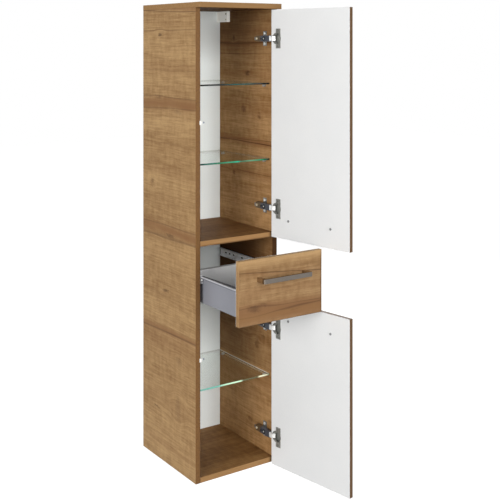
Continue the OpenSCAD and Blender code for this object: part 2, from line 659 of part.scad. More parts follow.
module drawer_bottom() color([0.78, 0.78, 0.8]) pulled()
  translate([-(wall_in - sheet - 0.2), front_in + 0.3, drawer_z + sheet])
    cube([2 * (wall_in - sheet - 0.2), back_in - front_in - 0.3, drawer_floor_t - sheet + 0.8]);
module drawer_back() color([0.78, 0.78, 0.8]) pulled() difference() {
  translate([-(wall_in - sheet - 0.2), back_in, drawer_z + sheet])
    cube([2 * (wall_in - sheet - 0.2), drawer_back_t, drawer_side_h - sheet + drawer_back_up]);
  both() for (z = back_screw_z) translate([wall_in + 1, back_screw_y, drawer_z + z])
    rotate([0, -90, 0]) cylinder(r = 1.6 + fit_slack, h = back_screw_len + 1);
}
// screws of the drawer: into the front, and through the steel sides into the back board
module drawer_screws() color([0.75, 0.75, 0.75]) pulled() both() {
  for (z = bracket_z) translate([wall_in - 14, front_in + 1.5 + 1.4, drawer_z + z])
    rotate([90, 0, 0]) screw(1.6, 12.5, 3, 1.4);
  for (z = back_screw_z) translate([wall_in + 1.2, back_screw_y, drawer_z + z])
    rotate([0, -90, 0]) screw(1.6, back_screw_len, 3, 1.2);
  for (y = rivet_y) translate([wall_in - 2.7 - 0.8, front_in + y, drawer_z + rivet_z]) {
    rod_x(1.6, 3.5);
    rod_x(2.8, 0.8);
  }
}
// riveted axles of the rear rollers
module drawer_axles() color([0.6, 0.6, 0.62]) pulled() both() translate([0, rear_roller_y, rear_roller_z]) {
  translate([wall_in - sheet, 0, 0]) rod_x(axle_r, xi - 3.8 - wall_in + sheet);
  translate([xi - 3.8, 0, 0]) rod_x(axle_r + 1.2, 0.7);
  translate([wall_in, 0, 0]) rod_x(axle_r + 1.2, 2.2);
}
module rear_roller_left() color([0.93, 0.93, 0.91]) pulled() mirror([1, 0, 0])
  roller(rear_roller_r, rear_roller_y, rear_roller_z);
module rear_roller_right() color([0.93, 0.93, 0.91]) pulled()
  roller(rear_roller_r, rear_roller_y, rear_roller_z);
module handle_drawer() color([0.58, 0.58, 0.58]) pulled() handle(handle_z[1]);
module handle_screws_drawer() color([0.75, 0.75, 0.75]) pulled() handle_screws(handle_z[1]);

// Door buffers: a soft pad on the front edge of the left side panel that wraps round its inner corner

module door_buffers() color([0.93, 0.92, 0.88]) for (z = buffer_z)
  mirror([1, 0, 0]) translate([0, 0, z]) union() {
    translate([xi - 5, yf - buffer_t, -buffer_h / 2]) cube([8, buffer_t, buffer_h]);
    translate([xi - 5, yf - 0.5, -buffer_h / 2]) cube([5, 10, buffer_h]);
    translate([xi - 1, yf + 5, 0]) rod_x(1.5, 9);
  }

side_panel_left();
side_panel_right();
top_board();
bottom_board();
mid_shelf();
back_panel();
panel_dowels();
glass_shelf_top();
glass_shelf_middle();
glass_shelf_lower();
shelf_supports();
hanger_housings();
hanger_hooks();
hanger_screws();
hinge_plates();
hinge_plate_screws();
hinge_arms();
hinge_arm_screws();
hinge_arm_pins();
hinge_links_upper();
hinge_links_lower();
door_upper();
door_upper_facing();
hinge_cups_upper();
cup_pins_upper();
cup_screws_upper();
handle_upper();
handle_screws_upper();
door_lower();
door_lower_facing();
hinge_cups_lower();
cup_pins_lower();
cup_screws_lower();
handle_lower();
handle_screws_lower();
rail_left();
rail_right();
rail_screws();
rail_axles();
front_roller_left();
front_roller_right();
drawer_front();
drawer_front_facing();
drawer_side_left();
drawer_side_right();
drawer_brackets();
drawer_bottom();
drawer_back();
drawer_screws();
drawer_axles();
rear_roller_left();
rear_roller_right();
handle_drawer();
handle_screws_drawer();
door_buffers();
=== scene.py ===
# %% [markdown]
# # A mid-height bathroom cabinet
# A narrow oak cabinet hangs on a wall. A door opens above, a drawer is pulled out in the middle, and a second
# door opens below. The solids come ready from the CAD model, in metres, with X to the right, Y to the wall and
# Z up. This lesson lights them, photographs them, and gives each one its real finish and its small trim. Two short
# helpers come first, because several steps add an object to the scene or give a solid its material.

# %% Load the cabinet
import json

import bmesh
import bpy
import numpy as np
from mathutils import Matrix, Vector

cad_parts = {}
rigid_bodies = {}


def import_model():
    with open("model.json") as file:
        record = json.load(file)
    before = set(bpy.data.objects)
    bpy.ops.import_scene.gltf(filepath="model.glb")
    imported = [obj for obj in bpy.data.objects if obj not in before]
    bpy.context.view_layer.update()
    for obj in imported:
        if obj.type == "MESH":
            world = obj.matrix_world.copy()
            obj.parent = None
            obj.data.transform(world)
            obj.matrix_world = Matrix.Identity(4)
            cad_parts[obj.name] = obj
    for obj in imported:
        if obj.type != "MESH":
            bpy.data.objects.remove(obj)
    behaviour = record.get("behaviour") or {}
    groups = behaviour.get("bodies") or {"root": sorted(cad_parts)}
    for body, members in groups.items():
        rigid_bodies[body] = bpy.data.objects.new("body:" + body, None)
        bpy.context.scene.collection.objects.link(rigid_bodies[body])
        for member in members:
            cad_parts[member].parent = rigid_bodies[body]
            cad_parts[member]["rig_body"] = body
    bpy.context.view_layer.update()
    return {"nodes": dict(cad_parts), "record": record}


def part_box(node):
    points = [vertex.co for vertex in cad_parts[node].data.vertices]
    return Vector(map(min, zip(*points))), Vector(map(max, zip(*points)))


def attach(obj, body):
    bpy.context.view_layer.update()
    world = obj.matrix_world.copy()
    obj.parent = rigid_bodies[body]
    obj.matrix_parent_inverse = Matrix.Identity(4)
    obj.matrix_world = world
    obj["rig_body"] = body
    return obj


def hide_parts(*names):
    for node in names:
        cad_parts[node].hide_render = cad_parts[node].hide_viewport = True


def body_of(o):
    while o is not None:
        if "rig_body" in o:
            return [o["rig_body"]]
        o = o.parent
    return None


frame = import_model()
nodes = frame["nodes"]
slot_of = {part["node"]: part["material_slot"] for part in frame["record"]["subparts"]}


def added(name, data):
    """A new object in the scene that shows a mesh, a camera or a lamp."""
    piece = bpy.data.objects.new(name, data)
    bpy.context.scene.collection.objects.link(piece)
    return piece


def dress(node, material):
    """Gives a solid one material in place of what it came with."""
    nodes[node].data.materials.clear()
    nodes[node].data.materials.append(material)


# %% [markdown]
# ## Camera
# The cabinet is seen from its left front, from the height of a standing person's eyes. The camera looks level,
# and its lens is shifted down, so that the upright edges stay upright in the picture.

# %% Camera
camera = added("camera", bpy.data.cameras.new("camera"))
camera.location = (-1.634596, -2.562872, 1.291020)
camera.rotation_euler = np.radians((90.0, 0.0, -32.006))
camera.data.lens = 66.572
camera.data.sensor_width = 36.0
camera.data.shift_x, camera.data.shift_y = 0.151406, -0.414834
bpy.context.scene.camera = camera
bpy.context.scene.view_settings.view_transform = "Standard"
print("camera at", tuple(round(c, 2) for c in camera.location))

# %% [markdown]
# ## Values that change over a surface
# Shader nodes do sums one node at a time, which is slow to read. The class below wraps one socket, so that a sum
# such as `1 - streak * 0.3` is written as it is said, and Python adds the Math nodes.


# %% A number on a surface
class Number:
    """One socket with a value that changes over the surface. Each sign adds one Math node."""

    def __init__(self, finish, socket):
        self.finish, self.socket = finish, socket

    def __add__(self, other):
        return self.finish.calc("ADD", self, other)

    def __sub__(self, other):
        return self.finish.calc("SUBTRACT", self, other)

    def __rsub__(self, other):
        return self.finish.calc("SUBTRACT", other, self)

    def __mul__(self, other):
        return self.finish.calc("MULTIPLY", self, other)

    def __truediv__(self, other):
        return self.finish.calc("DIVIDE", self, other)

    def __pow__(self, other):
        return self.finish.calc("POWER", self, other)

    def __abs__(self):
        return self.finish.calc("ABSOLUTE", self)

    __radd__, __rmul__ = __add__, __mul__


print("numbers know + - * / ** and abs")


# %% [markdown]
# ## A finish
# A finish is one material. It starts from the place of a point on the object, works out some numbers there, and
# hands a colour, a roughness and a bump to one Principled shader. Every other kind of node comes from `add`.

# %% The class that builds a finish
class Finish:
    """A material, with short ways to add the nodes that the finishes of this cabinet use."""

    def __init__(self, name):
        self.material = bpy.data.materials.new(name)
        self.material.use_nodes = True
        self.tree = self.material.node_tree
        self.tree.nodes.clear()
        self.place = self.add("ShaderNodeTexCoord").outputs["Object"]

    def add(self, kind, settings=None, **inputs):
        """Adds one node. Settings come first, where a ramp's stops are (position, colour) pairs. Inputs are values
        or links, by their names, or by their places: _2 is the third."""
        node = self.tree.nodes.new(kind)
        for key, value in (settings or {}).items():
            if key == "stops":
                ramp = node.color_ramp.elements
                while len(ramp) < len(value):
                    ramp.new(0.5)
                for stop, (position, colour) in zip(ramp, value):
                    stop.position, stop.color = position, colour
            else:
                setattr(node, key, value)
        for key, value in inputs.items():
            socket = node.inputs[int(key[1:])] if key[1:].isdigit() else node.inputs[key.replace("_", " ")]
            self.feed(socket, value)
        return node

    def feed(self, socket, value):
        """Links a value that changes, or sets one that doesn't."""
        value = value.socket if isinstance(value, Number) else value
        if isinstance(value, bpy.types.NodeSocket):
            self.tree.links.new(value, socket)
        else:
            socket.default_value = value

    def calc(self, operation, *terms):
        """One Math node on numbers."""
        node = self.add("ShaderNodeMath", {"operation": operation}, **{f"_{i}": term for i, term in enumerate(terms)})
        return Number(self, node.outputs[0])

    def most(self, first, *others):
        """The largest of several numbers."""
        for other in others:
            first = self.calc("MAXIMUM", first, other)
        return first

    def along(self, axis, start=(0.0, 0.0, 0.0)):
        """How far the point lies from start along an axis, in metres."""
        away = self.add("ShaderNodeVectorMath", {"operation": "SUBTRACT"}, _0=self.place, _1=start)
        dot = self.add("ShaderNodeVectorMath", {"operation": "DOT_PRODUCT"}, _0=away.outputs[0], _1=axis)
        return Number(self, dot.outputs["Value"])

    def vector(self, x, y, z):
        """A place made of three numbers."""
        return self.add("ShaderNodeCombineXYZ", X=x, Y=y, Z=z).outputs[0]

    def noise(self, where, detail=3.0, rough=0.5):
        """Smooth noise from 0 to 1, one lump to a unit of the vector where."""
        node = self.add("ShaderNodeTexNoise", {"noise_dimensions": "3D"}, Vector=where, Scale=1.0, Detail=detail,
                        Roughness=rough)
        return Number(self, node.outputs["Fac"])

    def lumps(self, count, detail=3.0, rough=0.5):
        """Smooth noise from 0 to 1, with that many lumps to a metre each way."""
        scaled = self.add("ShaderNodeMapping", None, Vector=self.place, Scale=(count, count, count))
        return self.noise(scaled.outputs[0], detail, rough)

    def rise(self, value, low, high):
        """0 below low, 1 above high, and a smooth step between them. With low above high it falls instead."""
        settings = {"interpolation_type": "SMOOTHSTEP", "clamp": True}
        node = self.add("ShaderNodeMapRange", settings, Value=value, From_Min=low, From_Max=high,
                        To_Min=0.0, To_Max=1.0)
        return Number(self, node.outputs["Result"])

    def hill(self, value, middle, reach):
        """1 at middle, falling smoothly to 0 at reach on either side."""
        return self.rise(abs(value - middle), reach, 0.0)

    def blend(self, share, first, second, mode="MIX"):
        """A colour between two others."""
        node = self.add("ShaderNodeMix", {"data_type": "RGBA", "blend_type": mode}, _0=share, _6=first, _7=second)
        return node.outputs[2]

    def bump(self, height, depth):
        """A normal that is tilted as a surface of that height, times depth in metres, would be."""
        return self.add("ShaderNodeBump", Strength=1.0, Distance=depth, Height=height).outputs[0]

    def surface(self, **inputs):
        """The Principled shader and the output. Returns the material."""
        shader = self.add("ShaderNodeBsdfPrincipled", None, **inputs)
        self.add("ShaderNodeOutputMaterial", None, Surface=shader.outputs[0])
        return self.material


def tint(red, green_and_painted_light, blue):
    """A colour as a picture program gives it, 0 to 255, turned into the linear values that shaders use."""
    c = np.array([red, green_and_painted_light, blue]) / 255.0
    linear = np.where(c <= 0.04045, c / 12.92, ((c + 0.055) / 1.055) ** 2.4)
    return (*linear.tolist(), 1.0)


print("mid grey 128 is", round(tint(128, 128, 128)[0], 3), "in linear light")

# %% [markdown]
# ## Studio
# The picture wants pure white all round. More light would bleach the oak, so the white is given only to rays that
# come straight from the camera or by way of glass and metal. The floor lies well below the cabinet, which hangs on
# its wall, and it keeps the soft shadow.

# %% Sky and floor
AMBIENT = 0.22
FLOOR_Z = -0.45
X, Y, Z = (1.0, 0.0, 0.0), (0.0, 1.0, 0.0), (0.0, 0.0, 1.0)
LEFT, FRONT, DOWN = (-1.0, 0.0, 0.0), (0.0, -1.0, 0.0), (0.0, 0.0, -1.0)


def seen_rays(finish):
    """1 for rays that look at the backdrop: straight, mirrored or through glass."""
    path = finish.add("ShaderNodeLightPath")
    seen = [Number(finish, path.outputs[f"Is {kind} Ray"]) for kind in ("Camera", "Glossy", "Transmission")]
    return finish.most(*seen)


class Sky(Finish):
    """The world's nodes, built with the same words as a finish."""

    def __init__(self, world):
        world.use_nodes = True
        self.tree = world.node_tree
        self.tree.nodes.clear()


world = bpy.data.worlds.new("studio")
bpy.context.scene.world = world
sky = Sky(world)
glow = sky.add("ShaderNodeBackground", None, Color=(1.0, 1.0, 1.0, 1.0),
               Strength=AMBIENT + seen_rays(sky) * (1.0 - AMBIENT))
sky.add("ShaderNodeOutputWorld", None, Surface=glow.outputs[0])


def sheet(name, u, v, place):
    """A mesh from two runs of numbers: place(u, v) gives the x, y and z of every point of the grid at once."""
    grid = np.stack(np.broadcast_arrays(*place(*np.meshgrid(u, v, indexing="ij"))), -1)
    rows, columns = grid.shape[:2]
    first = (np.arange(rows - 1)[:, None] * columns + np.arange(columns - 1)).ravel()
    faces = first[:, None] + (0, columns, columns + 1, 1)
    mesh = bpy.data.meshes.new(name)
    mesh.from_pydata(grid.reshape(-1, 3).tolist(), [], faces.tolist())
    return added(name, mesh)


def plain_floor():
    """A matt floor, lifted to white where it is looked at. Far from the lamps it needs more of the lift."""
    f = Finish("pale floor")
    bounce = f.add("ShaderNodeBsdfDiffuse", None, Color=(0.30, 0.30, 0.30, 1.0))
    away = (f.along(X) ** 2.0 + f.along(Y) ** 2.0) ** 0.5
    lift = f.add("ShaderNodeEmission", None, Color=(1.0, 1.0, 1.0, 1.0),
                 Strength=seen_rays(f) * (f.rise(away, 0.5, 3.5) * 0.06 + 0.88))
    both = f.add("ShaderNodeAddShader", None, _0=bounce.outputs[0], _1=lift.outputs[0])
    f.add("ShaderNodeOutputMaterial", None, Surface=both.outputs[0])
    return f.material


span = np.linspace(-12.0, 12.0, 3)
floor = sheet("floor", span, span, lambda u, v: (u, v, np.full_like(u, FLOOR_Z)))
floor.data.materials.append(plain_floor())
print("floor at", FLOOR_Z, "m")

# %% [markdown]
# Two large lamps give the boards their shape, and a third, behind on the right, lights the sides that turn away
# from them. A lamp of P watts that is d metres away lights a white board facing it to P / (pi d)^2, so the power
# follows from the level that is wanted.

# %% Lamps
TARGET = np.array([0.0, -0.2, 0.75])


def lamp(name, place, size, level):
    """A square soft lamp that faces the cabinet and adds that level of light to a white board facing it."""
    data = bpy.data.lights.new(name, "AREA")
    away = np.array(place) - TARGET
    data.shape, data.size = "SQUARE", size
    data.energy = float(level * (np.pi * np.linalg.norm(away)) ** 2)
    light = added(name, data)
    light.location = place
    tilt, turn = np.arctan2(np.hypot(away[0], away[1]), away[2]), np.arctan2(away[1], away[0]) + np.pi / 2
    light.rotation_euler = tilt, 0.0, turn
    print(name, round(data.energy, 1), "W")


lamp("lamp left", (-4.2, -1.9, 1.3), 2.4, 0.62)
lamp("lamp front", (-0.35, -4.4, 1.65), 2.2, 0.71)
lamp("lamp behind", (3.4, 3.0, 1.6), 2.6, 0.42)

# %% [markdown]
# ## Where things are
# A finish changes at known places: a board's front edge, the inner face of a side, the end of a front. These are
# measures of the solids, in metres, and each gets its name once. The heights of the doors and of the drawer front are
# pairs, from the lower to the upper end.

# %% Measures of the cabinet
HALF_WIDTH, INNER = 0.15, 0.134
BODY_DEPTH, TOP_DEPTH = 0.306, 0.329
SHELF_UNDER, TOP_UNDER = 0.692, 1.394
LOWER_DOOR, DRAWER_FRONT, UPPER_DOOR = (0.0, 0.507), (0.511, 0.692), (0.696, 1.392)
FRONT_HALF, DRAWER_FACE, HANDLE_REACH = 0.148, 0.5165, 0.034
DOOR_THICK, PIN_TO_DOOR, PIN_TO_LATCH, PIN_TO_SIDE = 0.014, 0.0045, 0.285, 0.011
print("the drawer's face stands", DRAWER_FACE, "m from the wall")

# %% [markdown]
# The doors were drawn shut and swung open by 100 degrees about a point near the hinges. Their grain, edges and
# handles are easiest to describe along the open door itself, so its two directions are worked out once.

# %% Directions of an open door
OPEN = np.radians(100.0)
HINGE = np.array([0.125535, -0.326574, 0.0])
LATCHWARD = (float(-np.cos(OPEN)), float(-np.sin(OPEN)), 0.0)
HINGEWARD = tuple(-c for c in LATCHWARD)
DOOR_OUT = (float(np.sin(OPEN)), float(-np.cos(OPEN)), 0.0)
LATCH_EDGE = float(HINGE @ LATCHWARD) + PIN_TO_LATCH
HINGE_EDGE = float(HINGE @ HINGEWARD) + PIN_TO_SIDE
DOOR_FACE = float(HINGE @ DOOR_OUT) + PIN_TO_DOOR + DOOR_THICK
print("the doors' free edges lie", round(LATCH_EDGE, 4), "m out")

# %% [markdown]
# ## Oak
# The boards are faced with a printed oak that shows planks laid crosswise: long fine streaks, small pores, darker bands
# along the plank joints, and a few knots. A picture of wood could be laid on, but a worked-out grain has no seams and
# stays sharp close up. The colours come first, from the lightest wood to the dark lines, with the colours of painted
# shade among them.

# %% Oak colours
OAK_LIGHT, OAK_DEEP = tint(200, 163, 114), tint(139, 102, 61)
OAK_RED, OAK_LINE, OAK_SHADE = tint(142, 101, 63), tint(78, 50, 29), tint(72, 42, 17)
EDGE_LIGHT, EDGE_MID, EDGE_SIDE = tint(174, 137, 94), tint(162, 124, 82), tint(122, 86, 45)
EDGE_FRONT, EDGE_DOOR, EDGE_IN_SHADE = tint(147, 114, 77), tint(104, 78, 50), tint(84, 57, 33)
CHIP, CHIP_DARK, BLACK_SHADE = tint(190, 160, 118), tint(120, 88, 55), tint(26, 18, 12)
print("oak between", [round(c, 2) for c in OAK_DEEP[:3]], "and", [round(c, 2) for c in OAK_LIGHT[:3]])

# %% [markdown]
# Plain grain is noise that is stretched along the plank. Four sizes are added: broad bands several centimetres high,
# streaks of about half a centimetre, fine lines of a millimetre or two, and short flecks. Sparse, very thin noise
# gives the dark pores. The same numbers later give the bump, so that colour and relief agree.


# %% Plain grain
def grain(f, u, v, w, seed):
    """Plain grain, where u runs along it, v across it and w into the board, all in metres. Returns the colour, v
    as the grain wanders, and the streaks, fine lines and pores as numbers from 0 to 1."""
    wander = (f.noise(f.vector(u * 3.0, v * 5.0, w * 5.0 + seed), 2.0) - 0.5) * 0.014
    v = v + wander
    broad = f.noise(f.vector(u * 1.3, v * 13.0, w * 13.0 + seed * 1.7), 2.0, 0.5)
    streak = f.noise(f.vector(u * 9.0, v * 165.0, w * 165.0 + seed), 4.0, 0.62)
    fine = f.noise(f.vector(u * 26.0, v * 560.0, w * 560.0 + seed), 3.0, 0.6)
    fleck = f.noise(f.vector(u * 70.0, v * 30.0, w * 30.0 + seed * 2.3), 2.0, 0.5)
    pore = f.rise(f.noise(f.vector(u * 80.0, v * 1500.0, w * 1500.0 + seed), 2.0, 0.5), 0.60, 0.72)
    light = broad * 0.70 + streak * 0.80 + fine * 0.60 + fleck * 0.45 - 0.775
    colour = f.blend(f.rise(light, 0.05, 0.95), OAK_DEEP, OAK_LIGHT)
    colour = f.blend(pore * 0.40, colour, OAK_LINE)
    return colour, v, streak, fine, pore


print("grain in four sizes, with pores")

# %% [markdown]
# A board adds what the printed planks show in one place only: reddish or dark bands, thin joint lines, and knots. Bands
# have ragged edges, as real ones follow the fibres. The grain parts round a knot, because near it distances across the
# grain are halved before the grain is looked up. Then come the narrow faces. They carry a thin edge band, whose colour
# is a little darker, and a dark glue line shows where the band meets the face; on a few edges, noted below, that colour
# is painted light and shade. Rear edges are left raw and show the chipboard inside. A door's narrow faces get a painted
# highlight towards its outer face. Last, painted shade may darken a face between two heights, and gloss says how much
# its lacquer mirrors.


# %% A board
def oak(name, along, across, start=(0.0, 0.0, 0.0), seed=0.0, bands=(), lines=(), knots=(), edges=(), marks=(),
        tone=None, shade=None, arris=None, gloss=0.25):
    """The oak of one board. Bands are (v, half width, slope, share) and lines (v, thickness, slope, share) along
    the grain; knots are (u, v, half length, half height, share); edges are (axis, reach, colour, glue line);
    marks are (axis, middle, reach, colour, share), straight stripes drawn last; tone is a colour to multiply by.
    shade is (axis, reach, zones): painted shade on one face, each zone (start, full, end, share, colour); arris is one
    more mark that only the narrow edges carry, used for a painted highlight; gloss is how much the lacquer mirrors."""
    f = Finish(name)
    into = np.cross(along, across).tolist()
    u, v0, w = f.along(along, start), f.along(across, start), f.along(into, start)
    for at_u, at_v, long, high, share in knots:
        away = ((u - at_u) / long) ** 2.0 + ((v0 - at_v) / high) ** 2.0
        v0 = v0 - (v0 - at_v) * f.rise(away, 9.0, 0.0) * 0.5
    colour, v, streak, fine, pore = grain(f, u, v0, w, seed)
    patch = f.noise(f.vector(u * 6.0, v0 * 22.0, seed + 5.0), 2.0, 0.5)
    ragged = v + (streak - 0.5) * 0.012 + (patch - 0.5) * 0.024
    for level, half, slope, share in bands:
        mask = f.hill(ragged - u * slope, level, half) * share
        colour = f.blend(mask * (streak * 0.6 + patch * 0.7 + 0.25), colour, OAK_RED)
    for level, half, slope, share in lines:
        mask = f.hill(v - u * slope, level, half) * share
        colour = f.blend(mask * (streak * 0.7 + patch * 0.9 + 0.1), colour, OAK_LINE)
    crumble = f.noise(f.vector(u * 110.0, v0 * 260.0, seed + 2.0), 3.0, 0.6)
    for at_u, at_v, long, high, share in knots:
        reach = ((u - at_u) / long) ** 2.0 + ((ragged - at_v) / high) ** 2.0
        colour = f.blend(f.rise(reach * 0.8 + crumble * 1.6 - 0.55, 1.0, 0.0) * share, colour, OAK_LINE)
    if tone:
        colour = f.blend(1.0, colour, tone, "MULTIPLY")
    for axis, reach, edge_colour, glue in edges:
        inside = reach - f.along(axis)
        colour = f.blend(f.rise(inside, 0.0026, 0.0008) * glue, colour, OAK_LINE)
        if edge_colour == "chip":
            narrow = f.blend(f.rise(f.lumps(420.0, 2.0), 0.35, 0.7), CHIP_DARK, CHIP)
        else:
            pale = edge_colour in (EDGE_LIGHT, EDGE_MID, EDGE_FRONT)
            narrow = f.blend(f.rise(streak, 0.25, 0.75) * 0.5, edge_colour, OAK_DEEP if pale else OAK_LINE)
        if arris:
            narrow = f.blend(f.hill(f.along(arris[0]), arris[1], arris[2]) * arris[4], narrow, arris[3])
        colour = f.blend(f.rise(inside, 0.0007, 0.0003), colour, narrow)
    for axis, middle, reach, mark, share in marks:
        colour = f.blend(f.hill(f.along(axis), middle, reach) * share, colour, mark)
    for start_z, full, end, share, dark in (shade[2] if shade else ()):
        zone = f.rise(f.along(Z), start_z, full) * f.rise(f.along(Z), end, end - 0.004)
        zone = zone * f.rise(f.along(shade[0]), shade[1] - 0.0008, shade[1] - 0.0002)
        zone = zone * (f.rise(f.along(Y), -BODY_DEPTH, -0.15) * 0.55 + 0.45) * f.rise(f.along(Y), -0.0185, -0.0205)
        colour = f.blend(zone * share, colour, dark)
    height = streak * 0.5 + fine * 0.4 - pore * 0.8
    return f.surface(Base_Color=colour, Roughness=fine * 0.14 + 0.50, Specular_IOR_Level=gloss,
                     Normal=f.bump(height, 0.00010))


def door_edges(low, high):
    """The four banded edges of an open door that reaches from one height to another."""
    return [(LATCHWARD, LATCH_EDGE, EDGE_DOOR, 0.5), (HINGEWARD, HINGE_EDGE, EDGE_DOOR, 0.5),
            (Z, high, EDGE_DOOR, 0.5), (DOWN, -low, EDGE_DOOR, 0.5)]


print("a board has bands, lines, knots, edges, marks and shade")

# %% [markdown]
# Each board gets its own direction, its own stretch of grain, and its marks: those that the real one shows, and on some
# boards stripes of painted shade as well. The side panel's marks are listed by their distance from the front edge and
# their height.

# %% Marks of the left side panel
SIDE_BANDS = [(0.716, 0.030, -0.012, 1.0), (1.102, 0.028, 0.0, 1.0), (0.411, 0.016, -0.03, 0.85),
              (0.376, 0.040, -0.03, 0.35), (1.388, 0.008, 0.035, 0.8), (0.057, 0.012, 0.0, 0.35),
              (0.19, 0.035, 0.0, 0.15), (1.215, 0.03, 0.0, 0.18), (0.89, 0.03, 0.0, 0.15), (0.64, 0.03, 0.0, 0.15),
              (0.33, 0.022, 0.0, 0.2)]
SIDE_LINES = [(0.6965, 0.0060, -0.02, 0.5), (0.4065, 0.0045, -0.035, 0.5), (1.330, 0.003, 0.0, 0.45),
              (0.732, 0.0040, -0.02, 0.35), (1.120, 0.004, 0.01, 0.4), (1.089, 0.004, -0.01, 0.35),
              (1.382, 0.0022, 0.035, 0.75), (1.205, 0.0025, 0.01, 0.25), (0.98, 0.002, 0.0, 0.2),
              (0.51, 0.002, 0.01, 0.25)]
SIDE_KNOTS = [(0.202, 1.321, 0.015, 0.006, 0.8), (0.248, 0.846, 0.012, 0.011, 0.5),
              (0.165, 0.526, 0.026, 0.0035, 0.75), (0.217, 0.160, 0.028, 0.0035, 0.6),
              (0.097, 0.187, 0.020, 0.026, 0.25), (0.090, 0.325, 0.022, 0.013, 0.3),
              (0.145, 0.6965, 0.035, 0.005, 0.6), (0.10, 1.08, 0.03, 0.004, 0.35), (0.21, 1.118, 0.02, 0.005, 0.35)]
print(len(SIDE_BANDS), "bands,", len(SIDE_LINES), "lines and", len(SIDE_KNOTS), "knots")

# %% [markdown]
# The right side panel is seen from inside, through the open front. Light hardly reaches it under the top board, above
# the lower glass shelf and in the drawer's bay, and none gets behind the runner rail, whose slots look black. Large
# soft lamps leave such corners too light, so painted shade darkens the wood itself there, nearly black behind the rail.
# Each zone says where its painted shade starts, where it is full, where it ends, how strong it is and which colour it
# takes on.

# %% Marks of the right side panel
WALL_BANDS = [(0.975, 0.020, 0.0, 0.85), (1.291, 0.010, 0.0, 0.8), (1.085, 0.030, 0.0, 0.35), (1.19, 0.02, 0.0, 0.35),
              (0.875, 0.030, 0.01, 0.5), (0.23, 0.03, 0.0, 0.5), (1.33, 0.02, 0.0, 0.4)]
WALL_LINES = [(0.971, 0.0028, 0.012, 0.9), (0.984, 0.002, -0.03, 0.6), (1.291, 0.003, 0.0, 0.7),
              (1.2565, 0.002, 0.0, 0.6), (1.225, 0.0016, 0.0, 0.35), (1.15, 0.0016, 0.0, 0.3),
              (0.875, 0.003, 0.01, 0.5), (0.255, 0.003, 0.0, 0.5)]
WALL_KNOTS = [(0.080, 0.346, 0.016, 0.012, 0.6), (0.049, 0.370, 0.014, 0.010, 0.5), (0.206, 1.310, 0.010, 0.008, 0.7),
              (0.130, 1.196, 0.016, 0.006, 0.75), (0.152, 1.085, 0.018, 0.010, 0.6),
              (0.068, 1.068, 0.012, 0.010, 0.5), (0.204, 0.864, 0.012, 0.006, 0.5), (0.216, 0.889, 0.010, 0.008, 0.4),
              (0.117, 0.087, 0.014, 0.006, 0.5)]
WALL_SHADE = [(1.14, 1.36, 1.41, 0.62, OAK_SHADE), (0.262, 0.280, 0.704, 0.46, OAK_SHADE),
              (0.36, 0.56, 0.704, 0.87, OAK_SHADE), (0.5800, 0.5850, 0.6110, 2.2, BLACK_SHADE)]
print(len(WALL_BANDS), "bands,", len(WALL_LINES), "lines,", len(WALL_KNOTS), "knots and", len(WALL_SHADE), "shades")

# %% [markdown]
# All eight boards follow from the same function. On the drawer front one plank joint runs above the handle, and the
# lowest plank is darker and redder than the rest.

